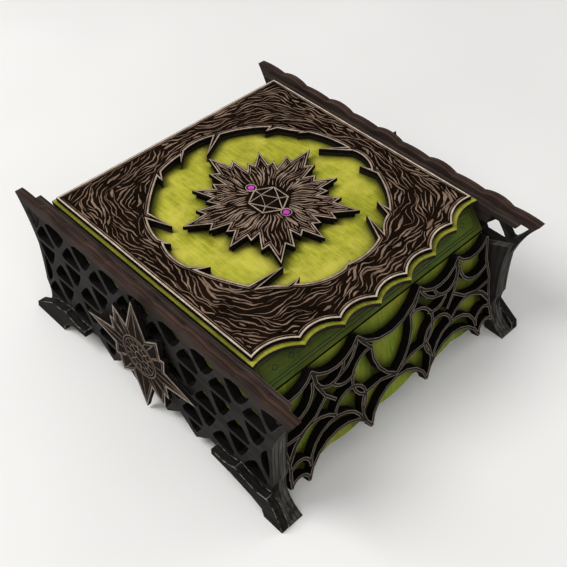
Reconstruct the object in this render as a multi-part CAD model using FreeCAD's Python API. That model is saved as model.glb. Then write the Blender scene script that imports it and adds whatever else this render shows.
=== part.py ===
"""Dice storage chest of laser-cut, stained plywood.

A chest on four feet: two lattice side panels carry a green box with a hinged lid over a divided
tray, and a leaning drawer front with a spider-web overlay below a sloping fascia.
Millimetres. +X is the chest's right, -Y its front, +Z up. The origin is on the ground, midway
between the side panels' ends and midway between the two side panels.
"""
import FreeCAD, Part
import math
import os

V = FreeCAD.Vector

# ---------------------------------------------------------------- driving sizes
SHEET = 3.0                 # thickness of one plywood sheet
GLUED = 2 * SHEET           # two sheets glued face to face
GROUND_GAP = 15.0           # underside of the box above the ground
DRAWER_SPACE = 43.0         # height inside for the drawer
TRAY_DEPTH = 39.4           # tray floor to the top of the walls
BOX_WIDTH = 200.0           # inside, between the side walls
BOX_BACK = 100.0            # outer face of the back wall
RUN_GAP = 0.3               # clearance between parts that move
ENGRAVING = 0.2             # depth of the engraved grounds below the faces of their sheets

SIDE_GAP = 0.6              # lid or drawer front to the columns beside it
LEDGE_SIDE = 2.4            # green ledge around the bark layer
LEDGE_FRONT = 3.4
LEDGE_BACK = 2.2
LID_OVERHANG = 8.1          # lid behind the back wall
LID_CORNER = -87.5          # front corners of the green frame layer
LID_BOW = 18.3              # how far the middle cusps stand in front of the corners
LID_BOW_POWER = 1.7
SCALLOP_PITCH = 27.8
SCALLOP_DEPTH = 4.8
OPENING_X = 79.0            # ragged opening in the bark
OPENING_Y = 79.0
OPENING_CENTRE = 7.0
SPLINTERS = 15              # broken splinters around the opening, every third one long
SPLINTER_UNEVEN = 4.0       # degrees
SPLINTER_LONG = 14.0        # from the rim to the tip, inwards
SPLINTER_SHORT = 5.5
SPLINTER_VARIED = 2.0       # longer or shorter by up to this
SPLINTER_SWEEP = 0.95       # degrees that the tip runs ahead, for each mm of its length
SPLINTER_ROOT = 2.2         # degrees from the middle of the root to its ends
RIM_UNEVEN = 1.5
BOARD_GAP = 0.7             # lid board to the walls it drops between
BOARD_BACK_GAP = 2.0

FASCIA_SLOPE = math.radians(38)
FASCIA_OUT = 96.1           # lower edge of the fascia in front of the chest's middle
FASCIA_LEVEL = 85.7         # and above the ground
DRAWER_SLOPE = math.radians(14)
FRONT_GAP = 2.1             # shadow gap between fascia and drawer front
FRONT_HEIGHT = 70.0         # drawer front along its slope
FRONT_SCALLOP = 3.0

THREAD = 2.5                # width of a web thread
THREAD_STEP = math.radians(18)
WEB_INSET = 1.9             # middle of the outermost threads to the ends of the front
DRAWER_HEIGHT = 39.0
DRAWER_SIDE_GAP = 0.5
DRAWER_BACK_GAP = 2.0
DIVIDER_HEIGHT = 26.0
TRAY_COLUMNS = 4
TRAY_ROWS = 3
DRAWER_COLUMNS = 3
DRAWER_ROWS = 2
TRAY_FRONT_BACK = -80.0     # inner face of the tray's front wall
TRAY_FRONT_HEIGHT = 33.0
FINGERS = 7                 # box joints in each corner
NOTCH_GAP = 0.1             # play in the half-lap notches

ARCHES = 9                  # lattice arches from tip to tip
LATTICE_SHIFT = -1.5        # the whole lattice stands a little to the back
LATTICE_SILL = 23.6         # lowest full rib
TOP_ROW = 22.3              # height of the top row of openings
RIB = 3.2
ARCH_HALF = 10.6            # hanging arches of the top row
ARCH_DEPTH = 13.6
ARCH_CROWN = 2.8
LOW_ARCH_HALF = 8.9         # hanging arches of the other rows
LOW_ARCH_DEPTH = 15.6
ARCH_TOE = 1.6
TENT_HALF = 10.3
TENT_RISE = 15.7
SMALL_ARCH_HALF = 6.4       # under the sill
SMALL_ARCH_DEPTH = 9.0
VALLEY_DROP = 4.6           # lower edge of the panel under the sill, at its valleys and cusps
CUSP_DROP = 17.6
RAIL_RISE = 3.6             # rail above the walls of the box
RAIL_DEPTH = 8.3
RAIL_WAVES = 11
RAIL_WAVE = 2.8
WING_OVERHANG = 33.0        # wing tips behind the back wall
WING_SWEEP = 16.5           # wing tip to waist
WING_RIB = 3.4              # around the openings beside a wing's edge
TOE_INSET = 2.0             # wing tip to the toe below it
FRONT_SOLE = 16.0           # length of the soles on the ground
BACK_SOLE = 34.0
PAD_LENGTH = 64.0
PAD_HEIGHT = 23.0
BACKER_INSET = 12.0
BACKER_RISE = 0.6           # rail backer above the walls of the box
BACKER_HEIGHT = 12.0
BACKER_STRIP = 3.0          # height of its front end
BACKER_WAVE = 0.8
COLUMN_DROP = 33.0          # top of the columns below the rail, at the box
COLUMN_SLOPE = 9.0
SILL_HEIGHT = 8.0

STAR_SPAN = 55.3            # half width of the star
STAR_RISE = 52.6            # half height of the star
STAR_CENTRE = 54.3
STAR_BACKING = 0.84         # backing layer against the face layer

MEDALLION_LEAVES = 10
MEDALLION_LONG = 61.0
MEDALLION_SHORT = 52.0
MEDALLION_VALLEY = 34.0
MEDALLION_BACKING = 0.95    # lower layer against the upper one
GEM_RADIUS = 3.0
GEM_PLACE = 17.0
GEM_GAP = 0.1
GEM_TABLE = 0.75            # top of a gem against its foot

HINGE_DROP = 5.0            # hinge axis below the lid's frame layer
PIN_RADIUS = 1.5
PIN_PLAY = 0.08
LUG_RADIUS = 3.6
LUG_SIDE_GAP = 0.5

# ---------------------------------------------------------------- derived levels
INNER_X = BOX_WIDTH / 2
WALL_X = INNER_X + SHEET                # outer face of the box walls
LATTICE_X = WALL_X + GLUED              # inner face of the lattice panels
EMBLEM_X = LATTICE_X + GLUED            # outer face of the lattice panels
FLOOR_TOP = GROUND_GAP + SHEET
TRAY_UNDER = FLOOR_TOP + DRAWER_SPACE
TRAY_TOP = TRAY_UNDER + SHEET
WALL_TOP = TRAY_TOP + TRAY_DEPTH
FASCIA_FOOT = V(0, -FASCIA_OUT, FASCIA_LEVEL)
BACK_INNER = BOX_BACK - SHEET
FRAME_HALF = WALL_X - SIDE_GAP
LID_BACK = BOX_BACK + LID_OVERHANG
HINGE_Y = LID_BACK - LUG_RADIUS
HINGE_Z = WALL_TOP - HINGE_DROP
RAIL_TOP = WALL_TOP + RAIL_RISE
RAIL_FOOT = RAIL_TOP - RAIL_DEPTH       # corners of the top row's openings
ROW = (RAIL_FOOT - TOP_ROW - LATTICE_SILL) / 2
PANEL_TIP = BOX_BACK + WING_OVERHANG
PANEL_WAIST = PANEL_TIP - WING_SWEEP
STEP = PANEL_TIP / ARCHES               # half a pitch, from each arch to the tent beside it
FOOT_TIP = PANEL_TIP - TOE_INSET
BACKER_TOP = WALL_TOP + BACKER_RISE
COLUMN_BACK = BACK_INNER                # inner edge of the columns
WEB_SIDE = FRAME_HALF - WEB_INSET


# ---------------------------------------------------------------- flat outlines
class Outline:
    """A closed flat outline of straight and three-point arc edges, in its own x and y."""

    def __init__(self, x, y):
        self.edges = []
        self.start = V(x, y, 0)
        self.pen = self.start

    def line(self, x, y):
        end = V(x, y, 0)
        if (end - self.pen).Length > 1e-6:
            self.edges.append(Part.LineSegment(self.pen, end).toShape())
            self.pen = end
        return self

    def arc(self, via, end):
        last = V(end[0], end[1], 0)
        self.edges.append(Part.Arc(self.pen, V(via[0], via[1], 0), last).toShape())
        self.pen = last
        return self

    def wire(self):
        self.line(self.start.x, self.start.y)
        return Part.Wire(self.edges)

    def face(self, holes=()):
        wires = [self.wire()] + [hole.wire() for hole in holes]
        return Part.makeFace(wires, "Part::FaceMakerBullseye")


def polygon(points):
    outline = Outline(*points[0])
    for point in points[1:]:
        outline.line(*point)
    return outline


def rectangle(x0, y0, x1, y1):
    return polygon([(x0, y0), (x1, y0), (x1, y1), (x0, y1)])


def placed(face, thickness, origin, along_x, along_y):
    """Extrude a flat face and stand it in the chest: its x and y run along the given directions."""
    normal = along_x.cross(along_y)
    solid = face.extrude(V(0, 0, thickness))
    solid.Placement = FreeCAD.Placement(FreeCAD.Matrix(
        along_x.x, along_y.x, normal.x, origin.x,
        along_x.y, along_y.y, normal.y, origin.y,
        along_x.z, along_y.z, normal.z, origin.z,
        0, 0, 0, 1))
    return solid


def level(face, bottom, thickness):
    """A horizontal sheet."""
    return placed(face, thickness, V(0, 0, bottom), V(1, 0, 0), V(0, 1, 0))


def left_panel(face, inner_x, thickness):
    """An upright sheet on the left: outline x runs forward, y runs up, and it grows outwards."""
    return placed(face, thickness, V(-inner_x, 0, 0), V(0, -1, 0), V(0, 0, 1))


def across(points, x0, x1):
    """A bar along X with a (y, z) profile."""
    face = polygon([(-y, z) for y, z in points]).face()
    return placed(face, x1 - x0, V(x1, 0, 0), V(0, -1, 0), V(0, 0, 1))


def box(x0, x1, y0, y1, z0, z1):
    return Part.makeBox(x1 - x0, y1 - y0, z1 - z0, V(x0, y0, z0))


def mirrored(shape):
    return shape.mirror(V(0, 0, 0), V(1, 0, 0))


def joined(shapes):
    return shapes[0].fuse(shapes[1:]).removeSplitter()


# ---------------------------------------------------------------- leaning fronts
def lean(origin, slope):
    """The x, y directions of a leaning face: across, and up the slope."""
    return origin, V(1, 0, 0), V(0, math.sin(slope), math.cos(slope))


FRONT_TOP = V(0, FASCIA_FOOT.y, FASCIA_FOOT.z - FRONT_GAP)
FRONT_PLANE = lean(FRONT_TOP, DRAWER_SLOPE)
FASCIA_PLANE = lean(FASCIA_FOOT, FASCIA_SLOPE)


def behind(origin, slope, depth, z):
    """The y of a leaning face's plane, set back by depth, at height z."""
    return origin.y + depth / math.cos(slope) + (z - origin.z) * math.tan(slope)


def front_back_y(z, clearance=0.0):
    return behind(FRONT_TOP, DRAWER_SLOPE, SHEET + clearance, z)


def fascia_back_y(z):
    return behind(FASCIA_FOOT, FASCIA_SLOPE, SHEET, z)


def on_front(face, start, thickness):
    origin, along_x, along_y = FRONT_PLANE
    normal = along_x.cross(along_y)
    return placed(face, thickness, origin + normal * start, along_x, along_y)


# ---------------------------------------------------------------- side panels
def rail_top(outline, half, top, waves, height):
    """The bark-like top edge: shallow bumps from the front tip to the back tip."""
    step = 2 * half / waves
    for index in range(waves):
        x = half - index * step
        rise = height * (1 if index % 2 else 0.35)
        outline.arc((x - step / 2, top + rise), (x - step, top))
    return outline


def wing_edge(sign):
    """The hollow edge from a wing's tip to its toe: via and end of each arc, after the tip itself."""
    arcs = [
        ((PANEL_TIP, RAIL_TOP), (PANEL_WAIST + 0.47 * WING_SWEEP, RAIL_TOP - 0.9 * WING_SWEEP)),
        ((PANEL_WAIST, RAIL_TOP - 37), (PANEL_WAIST, (RAIL_TOP - 3) / 2)),
        ((PANEL_WAIST + 1.2, 34), (PANEL_WAIST + 2.8, 11)),
        ((FOOT_TIP, 0), None),
    ]
    return [((sign * x, z), via and (sign * via[0], via[1])) for (x, z), via in arcs]


def draw_wing(outline, sign, downwards):
    corners = wing_edge(sign)
    if downwards:
        for (_, via), (end, _) in zip(corners, corners[1:]):
            outline.arc(via, end)
    else:
        for (end, via) in corners[-2::-1]:
            outline.arc(via, end)
    return outline


def underside(sole):
    """Lower edge of a foot from its toe inwards: sole, heel and the slope under the panel."""
    heel = FOOT_TIP - sole
    slope = [(18, 7), (28, 11), (46, 15), (PAD_LENGTH, 17)]
    inner = [(FOOT_TIP - back, z) for back, z in slope if back > sole + 1]
    return [(FOOT_TIP, 0), (heel, 0), (heel - 2, slope[0][1])] + inner[sole < slope[0][0]:]


def lower_edge(index):
    """Lower edge of the lattice: valleys at even steps, cusps at odd ones."""
    return LATTICE_SILL - (CUSP_DROP if index % 2 else VALLEY_DROP)


def panel_outline():
    outline = Outline(PANEL_TIP, RAIL_TOP)
    rail_top(outline, PANEL_TIP, RAIL_TOP, RAIL_WAVES, RAIL_WAVE)
    draw_wing(outline, -1, True)
    for x, z in underside(BACK_SOLE)[1:]:
        outline.line(-x, z)
    for index in range(-4, 5):
        outline.line(index * STEP, lower_edge(index))
    for x, z in underside(FRONT_SOLE)[::-1]:
        outline.line(x, z)
    return draw_wing(outline, 1, False)


def arch(x, roof, half, depth, crown=0.0):
    """A hanging arch between two ribs: bent sides down to a narrow toe, and a flat or raised roof."""
    right = [(ARCH_TOE, roof - depth), (half * 0.5, roof - depth * 0.72), (half * 0.84, roof - depth * 0.3),
             (half, roof)]
    if crown:
        right.append((half * 0.5, roof + crown))
    return polygon([(x + px, z) for px, z in right] + [(x - px, z) for px, z in right[::-1]])


def tent(x, foot):
    """The space beside two arches: a flat foot and sides that close to a narrow top."""
    side = [(0.82, 0.0), (1.0, 0.19), (0.63, 0.6), (0.12, 1.0)]
    right = [(x + across * TENT_HALF, foot + up * TENT_RISE) for across, up in side]
    left = [(2 * x - px, pz) for px, pz in right[::-1]]
    return polygon(right + left)


def wing_arch(sign):
    """The opening under the rail's tip, whose outer side follows the wing's edge."""
    def at(back, drop):
        return sign * (PANEL_TIP - WING_RIB - back), RAIL_TOP - drop

    outline = Outline(*at(22.4, 8.1))
    outline.arc(at(12.0, 5.9), at(4.0, 5.9))
    outline.arc(at(8.9, 15.0), at(13.4, 21.2))
    outline.line(*at(15.2, 21.2))
    outline.arc(at(20.2, 14.6), at(22.4, 8.1))
    return outline


def wing_slot(sign):
    """The leaf-shaped opening beside the waist."""
    edge = PANEL_WAIST - WING_RIB
    low = LATTICE_SILL + ROW / 2
    outline = Outline(sign * (edge - 1.4), low + ROW)
    outline.arc((sign * (edge - 6.4), low + 0.6 * ROW), (sign * (edge + 1), low - 1))
    outline.arc((sign * (edge + 0.4), low + 0.55 * ROW), (sign * (edge - 1.4), low + ROW))
    return outline


def lattice_holes():
    """Three rows of arches; odd and even rows are staggered, with tents between their arches."""
    holes = [wing_arch(-1), wing_arch(1), wing_slot(-1), wing_slot(1)]

    def place(step):
        return LATTICE_SHIFT + step * STEP

    for row, arches, tents in (
        (2, range(-6, 7, 2), range(-7, 8, 2)),
        (1, range(-7, 8, 2), range(-6, 7, 2)),
        (0, range(-6, 7, 2), range(-7, 8, 2)),
    ):
        rib = LATTICE_SILL + row * ROW
        for step in arches:
            if row == 2:
                holes.append(arch(place(step), RAIL_FOOT, ARCH_HALF, ARCH_DEPTH, ARCH_CROWN))
            else:
                holes.append(arch(place(step), rib + ROW - RIB / 2, LOW_ARCH_HALF, LOW_ARCH_DEPTH))
        for step in tents:
            holes.append(tent(place(step), rib + RIB / 2))
    for step in (-3, -1, 1, 3):
        holes.append(arch(step * STEP, LATTICE_SILL - RIB / 2, SMALL_ARCH_HALF, SMALL_ARCH_DEPTH))
    return holes


def lattice_panel():
    return left_panel(panel_outline().face(lattice_holes()), LATTICE_X, GLUED)


def column_front():
    """The inner layers beside the drawer front, flush with the panel's edge and down to the ground."""
    inner_top = RAIL_TOP - COLUMN_DROP
    outline = Outline(COLUMN_BACK, inner_top)
    outline.line(COLUMN_BACK, GROUND_GAP)
    for x, z in underside(FRONT_SOLE)[2::-1]:
        outline.line(x, z)
    corners = wing_edge(1)
    outline.arc(corners[2][1], corners[2][0])
    outline.arc(corners[1][1], corners[1][0])
    outline.line(PANEL_WAIST + 1.4, inner_top + COLUMN_SLOPE)
    return left_panel(outline.face(), WALL_X, GLUED)


def column_back():
    return column_front().mirror(V(0, 0, 0), V(0, 1, 0))


def rail_backer():
    """The lower strip inside the rail: thin at its front end, and bored for the hinge pin at its back."""
    tip = PANEL_TIP - BACKER_INSET
    foot = BACKER_TOP - BACKER_HEIGHT
    end = tip - 6
    strip_foot = BACKER_TOP - BACKER_STRIP
    outline = Outline(tip, BACKER_TOP)
    rail_top(outline, tip, BACKER_TOP, RAIL_WAVES, BACKER_WAVE)
    outline.arc((-end - 2.4, BACKER_TOP - 5), (-end, foot))
    outline.line(COLUMN_BACK, foot)
    outline.line(COLUMN_BACK + 2.5, strip_foot)
    outline.line(tip - 2, strip_foot)
    strip = left_panel(outline.face(), WALL_X, GLUED)
    hole = Part.makeCylinder(PIN_RADIUS, GLUED, V(-LATTICE_X, HINGE_Y, HINGE_Z), V(1, 0, 0))
    return strip.cut(hole)


def sill():
    return box(-LATTICE_X, -WALL_X, -COLUMN_BACK, COLUMN_BACK, GROUND_GAP, GROUND_GAP + SILL_HEIGHT)


def foot_pad(sole, high_toe):
    """A rock-like pad outside a front foot, chipped along its top."""
    chips = [(64, 0.98), (54, 0.93), (46, 1.04), (42, 1.13), (34, 1.02), (23, 0.91)]
    chips += [(14, 1.0), (8, 0.78)] if high_toe else [(10, 0.52)]
    top = [(FOOT_TIP - back, height * PAD_HEIGHT) for back, height in chips]
    toe = [(FOOT_TIP - 1.5, 6)]
    return left_panel(polygon(underside(sole) + top + toe).face(), EMBLEM_X, GLUED)


def back_of(shape):
    """The same piece at the back of the chest."""
    return shape.mirror(V(0, 0, 0), V(0, 1, 0))


# ---------------------------------------------------------------- star emblem
def star_outline(scale):
    """An eight-pointed star with four small barbs, alike in all four quarters."""
    quarter = [
        (0.0, 1.0), (0.18, 0.45), (0.40, 0.62), (0.425, 0.34), (0.50, 0.36), (0.48, 0.14), (1.0, 0.0),
    ]
    ring = list(quarter)
    ring += [(x, -y) for x, y in quarter[-2::-1]]
    ring += [(-x, -y) for x, y in quarter[1:]]
    ring += [(-x, y) for x, y in quarter[-2:0:-1]]
    return polygon([(x * STAR_SPAN * scale, STAR_CENTRE + y * STAR_RISE * scale) for x, y in ring])


def star_layer(start, scale, thickness):
    return left_panel(star_outline(scale).face(), start, thickness)


# ---------------------------------------------------------------- lid
def lid_outline(inset_side, inset_front, inset_back):
    """Straight sides and back; seven hollow scallops between cusps along the bowed front."""
    half = FRAME_HALF - inset_side
    corner = LID_CORNER + inset_front
    cusps = [(half, corner)]
    for index in range(3):
        x = (2.5 - index) * SCALLOP_PITCH
        y = corner - LID_BOW * (1 - (x / half) ** LID_BOW_POWER)
        cusps.append((x, y))
    cusps += [(-x, y) for x, y in cusps[::-1]]
    outline = Outline(-half, LID_BACK - inset_back)
    outline.line(-half, corner)
    ordered = cusps[::-1]
    for (x0, y0), (x1, y1) in zip(ordered, ordered[1:]):
        middle = ((x0 + x1) / 2, (y0 + y1) / 2 + SCALLOP_DEPTH)
        outline.arc(middle, (x1, y1))
    outline.line(half, LID_BACK - inset_back)
    return outline


def ragged_opening():
    """The broken-bark opening: a round rim with hooked splinters that all lean the same way."""
    def rim(angle, inwards=0.0):
        turn = math.radians(angle)
        return ((OPENING_X - inwards) * math.cos(turn),
                OPENING_CENTRE + (OPENING_Y - inwards) * math.sin(turn))

    def middle(index):
        return 360 * index / SPLINTERS + SPLINTER_UNEVEN * math.sin(2.3 * index)

    outline = Outline(*rim(middle(0) - SPLINTER_ROOT))
    for index in range(SPLINTERS):
        length = SPLINTER_SHORT if index % 3 else SPLINTER_LONG
        length += SPLINTER_VARIED * math.sin(5.0 * index)
        ending = middle(index) + SPLINTER_ROOT
        following = middle(index + 1) - SPLINTER_ROOT
        outline.line(*rim(middle(index) + SPLINTER_SWEEP * length, length))
        outline.line(*rim(ending, RIM_UNEVEN * math.sin(1.9 * index)))
        outline.arc(rim((ending + following) / 2, RIM_UNEVEN * math.sin(1.7 * index)), rim(following))
    return outline


def lid_relief():
    outline = lid_outline(LEDGE_SIDE, LEDGE_FRONT, LEDGE_BACK)
    return level(outline.face([ragged_opening()]), WALL_TOP + SHEET, SHEET - ENGRAVING)


def lid_frame():
    return level(lid_outline(0, 0, 0).face([ragged_opening()]), WALL_TOP, SHEET)


def lid_board():
    """Drops between the walls, so that the lid can't shift; seen through the opening."""
    half = INNER_X - BOARD_GAP
    front = fascia_back_y(WALL_TOP) + BOARD_GAP
    back = BACK_INNER - BOARD_BACK_GAP
    return box(-half, half, front, back, WALL_TOP - SHEET, WALL_TOP)


def medallion_outline(scale):
    """A ring of flame-like leaves, long and short by turns, each with a barb on both flanks."""
    half = 180.0 / MEDALLION_LEAVES

    def at(angle, radius):
        turn = math.radians(angle)
        return (radius * scale * math.cos(turn), OPENING_CENTRE + radius * scale * math.sin(turn))

    outline = Outline(*at(90 - half, MEDALLION_VALLEY))
    for leaf in range(MEDALLION_LEAVES):
        length = MEDALLION_SHORT if leaf % 2 else MEDALLION_LONG
        middle = 90 + leaf * 2 * half
        outline.line(*at(middle - half * 0.72, length * 0.8))
        outline.line(*at(middle - half * 0.4, length * 0.72))
        outline.line(*at(middle, length))
        outline.line(*at(middle + half * 0.4, length * 0.72))
        outline.line(*at(middle + half * 0.72, length * 0.8))
        outline.line(*at(middle + half, MEDALLION_VALLEY))
    return outline


def gem_places():
    return [V(0, OPENING_CENTRE + sign * GEM_PLACE, 0) for sign in (-1, 1)]


def octagon(place, radius):
    corners = []
    for index in range(8):
        turn = math.radians(22.5 + 45 * index)
        corners.append((place.x + radius * math.cos(turn), place.y + radius * math.sin(turn)))
    return polygon(corners)


def medallion_face():
    holes = [octagon(place, GEM_RADIUS + GEM_GAP) for place in gem_places()]
    return level(medallion_outline(1.0).face(holes), WALL_TOP + SHEET, SHEET - ENGRAVING)


def medallion_backing():
    return level(medallion_outline(MEDALLION_BACKING).face(), WALL_TOP, SHEET)


def gem(place):
    """A low eight-sided stone with sloping facets, flush with the medallion."""
    foot = octagon(place, GEM_RADIUS).wire()
    table = octagon(place, GEM_RADIUS * GEM_TABLE).wire()
    foot.translate(V(0, 0, WALL_TOP + SHEET))
    table.translate(V(0, 0, WALL_TOP + 2 * SHEET))
    return Part.makeLoft([foot, table], True, True)


def hinge_lug():
    """Hangs under the lid's back overhang and turns on the pin."""
    outer = FRAME_HALF - LUG_SIDE_GAP
    outline = Outline(-HINGE_Y - LUG_RADIUS, WALL_TOP)
    outline.line(-HINGE_Y - LUG_RADIUS, HINGE_Z)
    outline.arc((-HINGE_Y, HINGE_Z - LUG_RADIUS), (-HINGE_Y + LUG_RADIUS, HINGE_Z))
    outline.line(-HINGE_Y + LUG_RADIUS, WALL_TOP)
    plate = left_panel(outline.face(), outer - GLUED, GLUED)
    radius = PIN_RADIUS + PIN_PLAY
    return plate.cut(Part.makeCylinder(radius, GLUED, V(-outer, HINGE_Y, HINGE_Z), V(1, 0, 0)))


def hinge_pin():
    inner = FRAME_HALF - LUG_SIDE_GAP - GLUED
    return Part.makeCylinder(PIN_RADIUS, LATTICE_X - inner, V(-LATTICE_X, HINGE_Y, HINGE_Z), V(1, 0, 0))


# ---------------------------------------------------------------- box
def finger_blocks(x0, x1, y0, y1, z0, z1, parity):
    """Every other block of a corner, for one of the two sheets that meet there."""
    step = (z1 - z0) / FINGERS
    return [box(x0, x1, y0, y1, z0 + index * step, z0 + (index + 1) * step)
            for index in range(FINGERS) if index % 2 == parity]


def box_side():
    """A side wall whose front edge follows the fascia above and the drawer front below."""
    fascia_corner = FASCIA_FOOT - V(0, -math.cos(FASCIA_SLOPE), math.sin(FASCIA_SLOPE)) * SHEET
    profile = [
        (BACK_INNER, GROUND_GAP), (BACK_INNER, WALL_TOP), (fascia_back_y(WALL_TOP), WALL_TOP),
        (fascia_corner.y, fascia_corner.z),
        (front_back_y(FRONT_TOP.z - 1, RUN_GAP), FRONT_TOP.z - 1),
        (front_back_y(GROUND_GAP, RUN_GAP), GROUND_GAP),
    ]
    wall = across(profile, -WALL_X, -INNER_X)
    fingers = finger_blocks(-WALL_X, -INNER_X, BACK_INNER, BOX_BACK, GROUND_GAP, WALL_TOP, 0)
    return joined([wall] + fingers)


def box_back():
    wall = box(-INNER_X, INNER_X, BACK_INNER, BOX_BACK, GROUND_GAP, WALL_TOP)
    left = finger_blocks(-WALL_X, -INNER_X, BACK_INNER, BOX_BACK, GROUND_GAP, WALL_TOP, 1)
    return joined([wall] + left + [mirrored(block) for block in left])


def box_floor():
    front = front_back_y(FLOOR_TOP, RUN_GAP)
    low = front_back_y(GROUND_GAP, RUN_GAP)
    profile = [(low, GROUND_GAP), (BACK_INNER, GROUND_GAP), (BACK_INNER, FLOOR_TOP), (front, FLOOR_TOP)]
    return across(profile, -INNER_X, INNER_X)


def fascia():
    width = FRAME_HALF
    length = (WALL_TOP - RUN_GAP - FASCIA_FOOT.z) / math.cos(FASCIA_SLOPE)
    origin, along_x, along_y = FASCIA_PLANE
    normal = along_x.cross(along_y)
    face = rectangle(-width, 0, width, length).face()
    return placed(face, SHEET, origin - normal * SHEET, along_x, along_y)


def tray_floor():
    front = front_back_y(TRAY_TOP, RUN_GAP)
    return box(-INNER_X, INNER_X, front, BACK_INNER, TRAY_UNDER, TRAY_TOP)


def tray_front():
    return box(-INNER_X, INNER_X, TRAY_FRONT_BACK - SHEET, TRAY_FRONT_BACK, TRAY_TOP,
               TRAY_TOP + TRAY_FRONT_HEIGHT)


def spaced(low, high, cells):
    """Centres of the dividers that split a length into equal cells."""
    return [low + (high - low) * index / cells for index in range(1, cells)]


def divider_rows(x0, x1, y0, y1, floor, columns, rows):
    """Half-lapped dividers: the long ones are notched from above, the cross ones from below."""
    top = floor + DIVIDER_HEIGHT
    middle = floor + DIVIDER_HEIGHT / 2
    half = SHEET / 2
    slot = half + NOTCH_GAP
    xs = spaced(x0, x1, columns)
    ys = spaced(y0, y1, rows)
    long_ones = []
    for y in ys:
        sheet = box(x0, x1, y - half, y + half, floor, top)
        for x in xs:
            sheet = sheet.cut(box(x - slot, x + slot, y - half, y + half, middle, top))
        long_ones.append(sheet)
    cross_ones = []
    for x in xs:
        sheet = box(x - half, x + half, y0, y1, floor, top)
        for y in ys:
            sheet = sheet.cut(box(x - half, x + half, y - slot, y + slot, floor, middle))
        cross_ones.append(sheet)
    return long_ones, cross_ones


# ---------------------------------------------------------------- drawer
DRAWER_X = INNER_X - DRAWER_SIDE_GAP
DRAWER_INNER_X = DRAWER_X - SHEET
DRAWER_BACK = BACK_INNER - DRAWER_BACK_GAP
DRAWER_FOOT = FLOOR_TOP + RUN_GAP
DRAWER_FLOOR = DRAWER_FOOT + SHEET
DRAWER_TOP = DRAWER_FOOT + DRAWER_HEIGHT


def drawer_front():
    """A leaning board with a gently scalloped lower edge."""
    half = FRAME_HALF
    step = 2 * half / 5
    outline = Outline(half, 0)
    outline.line(-half, 0)
    outline.line(-half, -FRONT_HEIGHT)
    for index in range(5):
        x = -half + index * step
        outline.arc((x + step / 2, -FRONT_HEIGHT - FRONT_SCALLOP), (x + step, -FRONT_HEIGHT))
    return on_front(outline.face(), -SHEET, SHEET)


def thread(start, via, end):
    """A web thread: an even band along a three-point arc, a little longer than its arc."""
    curve = Part.Arc(V(*start, 0), V(*via, 0), V(*end, 0)).toShape().Curve
    centre = curve.Center
    angles = [math.atan2(y - centre.y, x - centre.x) for x, y in (start, via, end)]
    turn = (angles[2] - angles[0]) % (2 * math.pi)
    if (angles[1] - angles[0]) % (2 * math.pi) > turn:
        turn -= 2 * math.pi
    overrun = math.copysign(THREAD / 2 / curve.Radius, turn)
    steps = max(2, round(abs(turn) / THREAD_STEP))

    def side(radius):
        points = []
        for index in range(steps + 1):
            angle = angles[0] - overrun + (turn + 2 * overrun) * index / steps
            points.append((centre.x + radius * math.cos(angle), centre.y + radius * math.sin(angle)))
        return points

    band = side(curve.Radius + THREAD / 2) + side(curve.Radius - THREAD / 2)[::-1]
    return polygon(band).face()


def web_threads():
    """Threads as shares of the front's half width, from its middle, and of its height, from its top."""
    crossing = [
        ((-0.294, 0), (0, -0.221), (0.294, 0)),
        ((-0.279, -1.086), (0, -0.771), (0.279, -1.086)),
    ]
    right_half = [
        ((0.294, 0), (0.498, -0.136), (0.687, 0)),
        ((0.687, 0), (0.846, -0.114), (1, -0.029)),
        ((1, -0.029), (0.98, -0.229), (1, -0.486)),
        ((1, -0.486), (0.98, -0.757), (1, -1.029)),
        ((0.294, 0), (0.239, -0.129), (0.204, -0.193)),
        ((0.189, -0.207), (0.149, -0.5), (0, -0.729)),
        ((0.199, -0.207), (0.383, -0.386), (0.308, -0.657)),
        ((0.428, -0.129), (0.547, -0.271), (0.662, -0.043)),
        ((0.294, 0), (0.368, -0.171), (0.468, -0.243)),
        ((0.358, -0.343), (0.448, -0.371), (0.547, -0.271)),
        ((0.687, 0), (0.647, -0.257), (0.547, -0.457)),
        ((0.697, -0.114), (0.826, -0.357), (0.985, -0.314)),
        ((0.617, -0.357), (0.756, -0.5), (0.985, -0.529)),
        ((0.308, -0.657), (0.169, -0.65), (0, -0.729)),
        ((0.328, -0.814), (0.438, -0.471), (0.567, -0.629)),
        ((0.308, -0.657), (0.338, -0.886), (0.279, -1.086)),
        ((0.348, -0.943), (0.567, -0.657), (0.826, -0.943)),
        ((0.567, -0.629), (0.756, -0.514), (0.985, -0.771)),
        ((0.796, -0.514), (0.915, -0.629), (0.985, -0.771)),
        ((0.279, -1.086), (0.567, -0.814), (0.856, -1.1)),
        ((0.826, -0.943), (0.915, -0.8), (1, -0.914)),
        ((0.856, -1.1), (0.905, -0.986), (1, -1.029)),
    ]
    left_half = [[(-x, y) for x, y in points] for points in right_half]
    return [[(x * WEB_SIDE, y * FRONT_HEIGHT) for x, y in points]
            for points in crossing + right_half + left_half]


def drawer_web():
    """The overlay in front of the drawer: all threads in one sheet."""
    bands = [thread(*points) for points in web_threads()]
    face = bands[0].fuse(bands[1:]).removeSplitter()
    return on_front(face, 0, GLUED).Solids[0]


# ---------------------------------------------------------------- drawer box
def drawer_side():
    profile = [
        (front_back_y(DRAWER_FOOT), DRAWER_FOOT), (DRAWER_BACK - SHEET, DRAWER_FOOT),
        (DRAWER_BACK - SHEET, DRAWER_TOP), (front_back_y(DRAWER_TOP), DRAWER_TOP),
    ]
    wall = across(profile, -DRAWER_X, -DRAWER_INNER_X)
    fingers = finger_blocks(-DRAWER_X, -DRAWER_INNER_X, DRAWER_BACK - SHEET, DRAWER_BACK,
                            DRAWER_FOOT, DRAWER_TOP, 0)
    return joined([wall] + fingers)


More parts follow.
